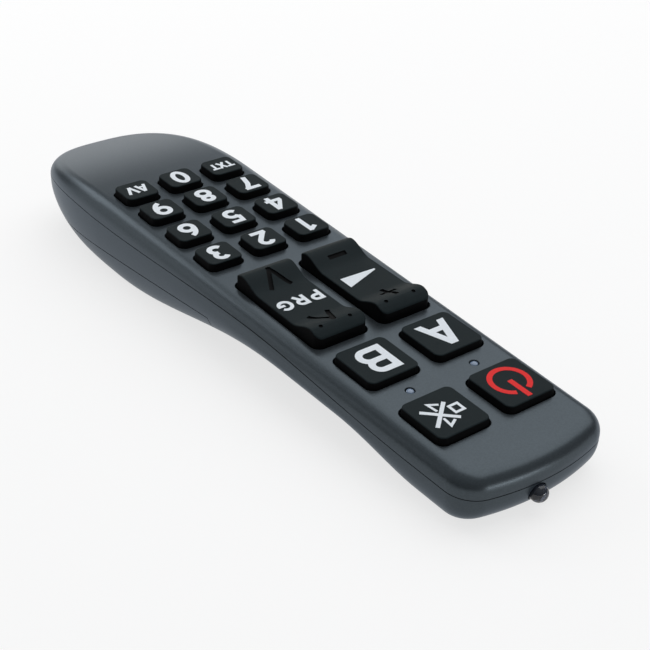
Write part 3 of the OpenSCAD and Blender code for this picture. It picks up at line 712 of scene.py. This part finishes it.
def pressed(name, shapes, low, high):
    """A closed mesh from overlapping outlines, between two levels over the plane."""
    shapes = [shape if turn(shape) > 0 else shape[::-1] for shape in shapes]
    corners = [Vector(p) for shape in shapes for p in shape]
    outlines = []
    first = 0
    for shape in shapes:
        outlines.append(list(range(first, first + len(shape))))
        first += len(shape)
    flat, _, cells, _, _, owners = geometry.delaunay_2d_cdt(corners, [], outlines, 0, WELD)
    cells = [cell for cell, owner in zip(cells, owners) if owner]
    used = {}
    for cell in cells:
        for i, j in zip(cell, cell[1:] + cell[:1]):
            used[(i, j)] = True
    n = len(flat)
    points = [(p[0], p[1], high(p[1])) for p in flat] + [(p[0], p[1], low(p[1])) for p in flat]
    faces = [tuple(cell) for cell in cells] + [tuple(n + i for i in cell[::-1]) for cell in cells]
    faces += [(j, i, n + i, n + j) for i, j in used if (j, i) not in used]
    return mould(name, points, faces)


def film(name, shapes, finish, body, at, level):
    """One printed film laid on a key's face."""
    piece = pressed(name, shapes, lambda y: level(y) - SUNK, lambda y: level(y) + FILM)
    piece.data.transform(Matrix.Translation(at))
    fit(piece, body, "key_rubber", finish)


BOLD = 1.65
DIGITS = {
    "0": loop(0, 0, 1.95, 3.45, BOLD),
    "1": [bar(-0.15, -4.15, 1.5, 4.15), stroke([(-1.75, 1.95), (0.95, 3.75)], 1.5)],
    "2": [stroke(np.vstack([arc(0.05, 1.85, 1.8, 1.65, 165, -40), [(-1.75, -3.1)]]), BOLD),
          bar(-2.65, -4.15, 2.65, -2.55)],
    "3": [stroke(arc(-0.1, 1.75, 1.75, 1.6, 150, -90), BOLD),
          stroke(arc(-0.1, -1.55, 1.95, 1.75, 90, -150), BOLD)],
    "4": [bar(0.35, -4.15, 2.0, 4.15), stroke([(1.2, 4.0), (-2.15, -1.2)], 1.4),
          bar(-2.85, -2.5, 2.95, -1.0)],
    "5": [bar(-2.0, 2.6, 2.35, 4.15), stroke([(-1.35, 3.4), (-1.65, 0.1)], 1.5),
          stroke(arc(-0.05, -1.35, 2.05, 1.95, 140, -145), BOLD)],
    "6": loop(0, -1.35, 2.05, 1.98, BOLD) + [stroke(arc(1.6, -1.3, 3.65, 4.9, 180, 105), 1.6)],
    "7": [bar(-2.7, 2.55, 2.7, 4.15), stroke([(1.75, 3.4), (0.1, 0.2), (-0.85, -4.15)], 1.7)],
    "8": loop(0, 1.9, 1.6, 1.42, BOLD) + loop(0, -1.5, 2.0, 1.83, BOLD),
}
DIGITS["9"] = [-1 * shape for shape in DIGITS["6"]]
TXT = []
for x in (-2.85, 2.85):
    TXT += [bar(x - 1.3, 1.15, x + 1.3, 2.0), bar(x - 0.43, -2.0, x + 0.43, 1.6)]
TXT += [stroke([(-1.15, -2.0), (1.15, 2.0)], 0.9), stroke([(-1.15, 2.0), (1.15, -2.0)], 0.9)]
AV = [stroke([(-3.45, -2.3), (-1.95, 2.3)], 1.0), stroke([(-0.45, -2.3), (-1.95, 2.3)], 1.0),
      bar(-2.9, -1.3, -1.0, -0.5),
      stroke([(0.2, 2.3), (1.8, -2.3)], 1.0), stroke([(3.4, 2.3), (1.8, -2.3)], 1.0)]
KEY_LEGENDS = {**DIGITS, "txt": TXT, "av": AV}
for name, (column, row) in KEYS.items():
    film(name + "_legend", KEY_LEGENDS[name.removeprefix("key_")], white_ink, name,
         (column * KEY_PITCH_X, KEY_ROWS[row], 0), lambda y: KEY_RISE)

LEG = np.array([(-5.15, -5.55), (-2.82, -5.55), (1.09, 5.55), (-1.25, 5.55)])
LETTER_A = [LEG, LEG * np.array([-1, 1]),
            np.array([(-3.6, -2.95), (3.6, -2.95), (2.9, -0.95), (-2.9, -0.95)])]
LETTER_B = [bar(-4.6, -5.65, -2.4, 5.65),
            stroke(np.vstack([[(-3.5, 4.65)], arc(0.65, 2.4, 2.25, 2.25, 90, -90), [(-3.5, 0.15)]]), 2.0),
            stroke(np.vstack([[(-3.5, 0.15)], arc(1.2, -2.25, 2.4, 2.4, 90, -90), [(-3.5, -4.65)]]), 2.0)]
POWER = [stroke(arc(0, -0.6, 5.2, 5.2, 113, 427, 48), 1.5), bar(-0.82, -0.7, 0.82, 7.0)]
MUTE = [bar(-5.15, -1.45, -1.6, -0.65), bar(-5.15, 1.35, -1.6, 2.15),
        bar(-5.15, -1.45, -4.35, 2.15), bar(-2.4, -1.45, -1.6, 2.15),
        stroke([(-2.2, -3.2), (5.9, 3.95)], 1.1), stroke([(-1.75, 3.85), (5.75, -3.1)], 1.1),
        stroke([(-0.4, -3.0), (2.1, -4.45), (1.7, -1.1)], 0.75),
        stroke([(2.2, 1.95), (2.5, 5.15), (0.05, 3.75)], 0.75)]
for name, shapes in (("key_a", LETTER_A), ("key_b", LETTER_B), ("key_power", POWER), ("key_mute", MUTE)):
    column, row = BIG_KEYS[name]
    film(name + "_legend", shapes, red_ink if name == "key_power" else white_ink, name,
         (column * BIG_X, BIG_ROWS[row], 0), lambda y: BIG_RISE)

# The two rockers are long saddles of the same silicone: a raised crest near each end with a flat hollow
# between. Each stands on a short foot under the deck and tilts on a round rib.
ROCKER_RISE = 4.6
ROCKER_END = 2.8
ROCKER_DIP = 2.6
ROCKER_CREST = 0.82
ROCKER_SLOPE = 0.42
ROCKER_BEND = 1.6
ROCKER_EDGE = 0.35
ROCKER_STEPS = (10, 48)
ROCKER_FOOT_L = 8.0
ROCKER_FOOT_R = 1.0
BOARD_TOP = 4.9
FOOT_GAP = 0.35
ROCKER_RIB_R = 0.8
ROCKER_RIB_SIDES = 20
ROCKER_RIB_Z = -BOARD_TOP + ROCKER_RIB_R + FOOT_GAP


def saddle(y):
    t = np.abs(y) / (ROCKER_SIZE[1] / 2)
    past = np.maximum(t - ROCKER_CREST, 0) / (1 - ROCKER_CREST)
    crest = mix(ROCKER_RISE, ROCKER_END, past ** ROCKER_BEND)
    return crest - ROCKER_DIP * ease((ROCKER_CREST - t) / ROCKER_SLOPE)


def steps(points, n=10):
    """The same line with more points, so that a mark can follow a curved face."""
    p = np.asarray(points, float)
    t = np.linspace(0, 1, n + 1)[:, None]
    return np.vstack([mix(p[i], p[i + 1], t[:-1]) for i in range(len(p) - 1)] + [p[-1:]])


NOSE_MARK = 11.2
TAIL_MARK = -12.4
MARK = 1.4
MARK_DEEP = 0.45
WEDGE = [np.array([(-5.8, -2.3), (6.2, -2.8), (6.2, 2.4), (-5.8, -1.7)])]
PLUS = [stroke(steps([(-3.0, NOSE_MARK), (2.6, NOSE_MARK)]), MARK),
        stroke(steps([(-0.1, NOSE_MARK - 3.2), (-0.1, NOSE_MARK + 3.9)]), MARK)]
MINUS = [stroke(steps([(-3.2, TAIL_MARK), (3.2, TAIL_MARK)]), MARK)]
FORTH = [stroke(steps([(-3.4, 8.0), (0.3, 15.8)]), MARK), stroke(steps([(3.2, 8.0), (-0.3, 15.8)]), MARK)]
BACK = [stroke(steps([(-3.4, -8.6), (0.35, -16.2)]), MARK),
        stroke(steps([(3.4, -8.6), (-0.35, -16.2)]), MARK)]
DOTS = [arc(x, 16.6, 0.6, 0.6, 0, 342, 19) for x in (-4.6, 5.2)]
CAPS = (-2.4, 2.6)
PRG = []
for x, leg in ((-7.3, False), (-2.3, True)):
    bowl = np.vstack([[(x + 0.5, 2.05)], arc(x + 2.1, 0.95, 1.2, 1.1, 90, -90), [(x + 0.5, -0.15)]])
    PRG += [bar(x, CAPS[0], x + 1.15, CAPS[1]), stroke(bowl, 1.1)]
    if leg:
        PRG.append(stroke([(x + 2.0, -0.1), (x + 3.4, CAPS[0])], 1.15))
PRG += [stroke(arc(5.0, 0.1, 1.85, 1.95, 42, 350, 32), 1.1), bar(5.0, -0.55, 7.3, 0.45)]


def rocker(name, x, grooves, legend):
    """One rocker with its foot, rib, engraved marks and printed legend."""
    rings = [half_plate(ROCKER_SIZE, level, *ROCKER_STEPS) for level in (-FOOT_BOTTOM, 0.0)]
    face_from = len(rings) + 1
    for a in EDGE_TURN:
        size = grown(ROCKER_SIZE, -ROCKER_EDGE * (1 - math.cos(a)))
        drop = ROCKER_EDGE * (1 - math.sin(a))
        rings.append(half_plate(size, lambda y, drop=drop: saddle(y) - drop, *ROCKER_STEPS))
    piece = coat(skin(name + "_saddle", rings, face_from=face_from), shaded_side_rubber, face_rubber)
    foot = (ROCKER_SIZE[0] + 2 * (ROCKER_GAP + FOOT_REACH), ROCKER_FOOT_L, ROCKER_FOOT_R)
    foot_piece = skin("foot", [half_plate(foot, -FOOT_BOTTOM), half_plate(foot, -FOOT_TOP)])
    combine(piece, coat(foot_piece, shaded_side_rubber, face_rubber), "UNION")
    rib = round_bar("rib", ROCKER_SIZE[0] / 2, ROCKER_RIB_R, 0.0, ROCKER_RIB_Z, ROCKER_RIB_SIDES)
    combine(piece, coat(rib, shaded_side_rubber, face_rubber), "UNION")
    tool = pressed("grooves", grooves, lambda y: saddle(y) - MARK_DEEP, lambda y: saddle(y) + WALL)
    combine(piece, coat(tool, shaded_side_rubber, face_rubber), "DIFFERENCE")
    at = (x, ROCKER_Y, 0)
    piece.data.transform(Matrix.Translation(at))
    fit(piece, name, "key_rubber", replaces=[name], sharp=SOFT_CREASE)
    film(name + "_legend", legend, white_ink, name, at, saddle)


rocker("rocker_volume", -BIG_X, PLUS + MINUS + DOTS, WEDGE)
rocker("rocker_program", BIG_X, FORTH + BACK + DOTS, PRG)

# The infrared lamp is a smoked resin barrel with a domed end that looks out of the nose. A flange behind
# the wall holds it.
LAMP_OUT = 2.6
LAMP_TIP = FRONT_Y + LAMP_OUT
LAMP_TIP_R = 0.05
LAMP_DOME_STEPS = 24
FLANGE_T = 1.0


def smoked_resin():
    """Smoked epoxy, polished and clear enough to pass light along its rim."""
    finish, start = new_finish("smoked_resin")
    cloud = speckle(start, place_on(start), 400.0)
    colour = blend_colours(start, cloud, (0.10, 0.12, 0.17, 1), (0.20, 0.23, 0.30, 1))
    surface(start, {"Base Color": colour, "Roughness": 0.03 + cloud * 0.03, "Transmission Weight": 0.85,
                    "IOR": 1.5})
    return finish


rings = [half_disc(LAMP_R + FLANGE_REACH, LAMP_BACK - FLANGE_T),
         half_disc(LAMP_R + FLANGE_REACH, LAMP_BACK), half_disc(LAMP_R, LAMP_BACK)]
for a in np.linspace(0, math.pi / 2, LAMP_DOME_STEPS + 1)[:-1]:
    rings.append(half_disc(LAMP_R * math.cos(a), LAMP_TIP - LAMP_R + LAMP_R * math.sin(a)))
rings.append(half_disc(LAMP_TIP_R, LAMP_TIP))
lamp = skin("ir_lamp_barrel", rings, (LAMP_X, 0, 0))
fit(lamp, "case", "lamp", smoked_resin(), replaces=["ir_lamp"], sharp=SOFT_CREASE)

# The indicator windows are small clear pegs pressed into the deck from inside, each with a domed end that
# shows as a pale dot between the large keys.
WINDOW_PROUD = 0.1
WINDOW_LOW = 4.2
WINDOW_DOME = 0.5
WINDOW_TIP_R = 0.03
WINDOW_DOME_STEPS = 7


def window_resin():
    """Cloudy clear resin, bluish, bright where the deck's light falls on its dome."""
    finish, start = new_finish("window_resin")
    cloud = speckle(start, place_on(start), 500.0)
    colour = blend_colours(start, cloud, (0.12, 0.18, 0.28, 1), (0.26, 0.34, 0.46, 1))
    surface(start, {"Base Color": colour, "Roughness": 0.12 + cloud * 0.1, "Coat Weight": 0.5})
    return finish


clear_resin = window_resin()
for side, name in ((-1, "indicator_window_left"), (1, "indicator_window_right")):
    rings = [half_circle(WINDOW_R, -WINDOW_LOW), half_circle(WINDOW_R, -FOOT_BOTTOM),
             half_circle(WINDOW_R + FOOT_REACH, -FOOT_BOTTOM),
             half_circle(WINDOW_R + FOOT_REACH, -FOOT_TOP), half_circle(WINDOW_R, -FOOT_TOP)]
    for a in np.linspace(0, math.pi / 2, WINDOW_DOME_STEPS + 1)[:-1]:
        rings.append(half_circle(WINDOW_R * math.cos(a), WINDOW_PROUD - WINDOW_DOME * (1 - math.sin(a))))
    rings.append(half_circle(WINDOW_TIP_R, WINDOW_PROUD))
    peg = skin(name + "_peg", rings, (side * WINDOW_X, WINDOW_Y, 0))
    fit(peg, "case", "window", clear_resin, replaces=[name], sharp=SOFT_CREASE)

# The parts inside the case: the keypad's web with its carbon pills, the circuit board with the small parts
# soldered to it, the cells with their sprung contacts, and the two screws. They keep their solids.


def inside_finish(name, dark, light, scale, roughness, metallic=0.0, bump=0.1):
    """A plain technical finish with a fine mottle and a matching bump."""
    finish, start = new_finish(name)
    grain = speckle(start, place_on(start), scale, 3.0)
    relief = start.node("Bump", {}, {"Strength": bump, "Distance": 0.00005, "Height": grain})
    colour = blend_colours(start, grain, (*dark, 1), (*light, 1))
    surface(start, {"Base Color": colour, "Metallic": metallic, "Roughness": roughness + grain * 0.15,
                    "Normal": relief})
    return finish


web_rubber = inside_finish("web_rubber", (0.010, 0.011, 0.012), (0.022, 0.024, 0.026), 900.0, 0.55)
carbon = inside_finish("carbon_pill", (0.006, 0.006, 0.006), (0.016, 0.016, 0.016), 2500.0, 0.5)
solder_mask = inside_finish("solder_mask", (0.008, 0.060, 0.026), (0.016, 0.105, 0.045), 300.0, 0.28)
chip_resin = inside_finish("chip_resin", (0.008, 0.008, 0.009), (0.018, 0.018, 0.020), 2200.0, 0.5)
emitter_resin = inside_finish("emitter_resin", (0.50, 0.48, 0.38), (0.66, 0.64, 0.54), 1800.0, 0.25)
tan_ceramic = inside_finish("tan_ceramic", (0.34, 0.20, 0.06), (0.50, 0.33, 0.12), 1500.0, 0.35)
can_sleeve = inside_finish("can_sleeve", (0.015, 0.022, 0.060), (0.030, 0.042, 0.100), 900.0, 0.3)
nickel = inside_finish("nickel", (0.52, 0.51, 0.48), (0.68, 0.67, 0.63), 1200.0, 0.2, 1.0)
cell_wrap = inside_finish("cell_wrap", (0.020, 0.050, 0.110), (0.035, 0.080, 0.160), 120.0, 0.25)
zinc = inside_finish("zinc", (0.42, 0.41, 0.38), (0.58, 0.57, 0.53), 1600.0, 0.28, 1.0)
INSIDE = {
    "keypad_mat": web_rubber, "circuit_board": solder_mask, "controller_chip": chip_resin,
    "resonator": tan_ceramic, "capacitor": can_sleeve, "contact_plus": nickel, "contact_minus": nickel,
    "contact_link": nickel, "battery_cell_left": cell_wrap, "battery_cell_right": cell_wrap,
    "case_screws": zinc, "indicator_chip_left": emitter_resin, "indicator_chip_right": emitter_resin,
}
for name in list(KEYS) + list(BIG_KEYS):
    INSIDE[name + "_pill"] = carbon
for name in ROCKERS:
    INSIDE[name + "_pills"] = carbon
for name, finish in INSIDE.items():
    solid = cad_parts[name]
    solid.data.materials.clear()
    solid.data.materials.append(finish)

# The lamp's legs are two square pins of plated wire, each bent once. They run back from its flange inside
# the nose, then rise to the underside of the circuit board, where they are soldered.
PIN_D = 0.6
PIN_PITCH = 2.54
PIN_IN = 2.0
PIN_BACK = CORNER_Y - PIN_IN
PIN_SUNK = 0.3
for side, name in ((-1, "ir_lamp_leg_left"), (1, "ir_lamp_leg_right")):
    x = LAMP_X + side * PIN_PITCH / 2
    low = (x - PIN_D / 2, PIN_BACK - PIN_D / 2, -LAMP_DEPTH - PIN_D / 2)
    pin = block(name, low, (x + PIN_D / 2, LAMP_BACK - FLANGE_T + PIN_SUNK, -LAMP_DEPTH + PIN_D / 2))
    combine(pin, block("rise", low, (x + PIN_D / 2, PIN_BACK + PIN_D / 2, -BOARD_LOW)), "UNION")
    fit(pin, "case", "lamp", nickel)

# The handset lies on a wide pale floor in a dim plain room, under one large soft light that hangs overhead.
# Four lower ones, three behind the tail and one before the nose, draw the bright lines along the rim.
FLOOR = 30.0
FLOOR_GLOW = 0.72
floor_mesh = bpy.data.meshes.new("floor")
floor_mesh.from_pydata([(-FLOOR, -FLOOR, 0), (FLOOR, -FLOOR, 0), (FLOOR, FLOOR, 0), (-FLOOR, FLOOR, 0)], [],
                       [(0, 1, 2, 3)])
floor = bpy.data.objects.new("floor", floor_mesh)
bpy.context.scene.collection.objects.link(floor)
pale, start = new_finish("pale_floor")
straight = start.node("LightPath", {}, {}, "Is Camera Ray")
gloss = start.node("LightPath", {}, {}, "Is Glossy Ray")
through = start.node("LightPath", {}, {}, "Is Transmission Ray")
seen = straight.math("MAXIMUM", straight.math("MAXIMUM", straight, gloss), through)
dull = start.node("BsdfDiffuse", {}, {"Color": (0.2, 0.2, 0.2, 1)})
matt = start.node("BsdfDiffuse", {}, {"Color": (0.96, 0.96, 0.96, 1)})
glow = start.node("Emission", {}, {"Color": (1, 1, 1, 1), "Strength": 1.0})
shown = start.node("MixShader", {}, {0: FLOOR_GLOW, 1: matt, 2: glow})
top = start.node("MixShader", {}, {0: seen, 1: dull, 2: shown})
below = start.node("NewGeometry", {}, {}, "Backfacing")
clear = start.node("BsdfTransparent", {}, {})
start.node("OutputMaterial", {}, {"Surface": start.node("MixShader", {}, {0: below, 1: top, 2: clear})})
floor_mesh.materials.append(pale)

room = bpy.data.worlds.new("plain_room")
bpy.context.scene.world = room
room.use_nodes = True
room.node_tree.nodes.clear()
start = Wire(room.node_tree)
height = start.node("SeparateXYZ", {}, {0: start.node("TexCoord", {}, {}, "Generated")}, 2)
tall = height.math("ABSOLUTE", height, 0.0)
glow = start.node("Background", {}, {"Color": (0.94, 0.97, 1.0, 1), "Strength": 0.12 + tall * 0.3})
start.node("OutputWorld", {}, {"Surface": glow})

AIM = Vector((0, 0.07, 0))


def soft_light(name, place, size, power, colour=(1, 1, 1)):
    """A rectangular studio light that faces the middle of the handset."""
    data = bpy.data.lights.new(name, "AREA")
    data.shape = "RECTANGLE"
    data.size, data.size_y = size
    data.energy = power
    data.color = colour
    light = bpy.data.objects.new(name, data)
    bpy.context.scene.collection.objects.link(light)
    light.location = place
    light.rotation_euler = (AIM - Vector(place)).to_track_quat("-Z", "Y").to_euler()


soft_light("softbox", (-0.50, -0.10, 0.95), (1.5, 1.6), 9.7)
soft_light("left_light", (0.19, -0.68, 0.54), (0.4, 0.35), 1.1)
soft_light("nose_light", (-0.23, 0.88, 0.055), (0.45, 0.10), 0.85)
soft_light("left_fill", (0.62, -0.66, 0.28), (0.6, 0.5), 0.75)
soft_light("tail_light", (-0.55, -1.15, 0.25), (1.3, 0.4), 2.6, (1.0, 0.95, 0.88))

lens = bpy.data.cameras.new("camera")
lens.lens = 70.526
lens.sensor_width = 36.0
lens.shift_x = -0.0016
lens.dof.use_dof = False
camera = bpy.data.objects.new("camera", lens)
bpy.context.scene.collection.objects.link(camera)
camera.location = (0.189857, 0.328332, 0.194610)
camera.rotation_mode = "QUATERNION"
camera.rotation_quaternion = (0.2750369, 0.15511124, 0.47437613, 0.82174357)
bpy.context.scene.camera = camera
bpy.context.scene.view_settings.view_transform = "Standard"
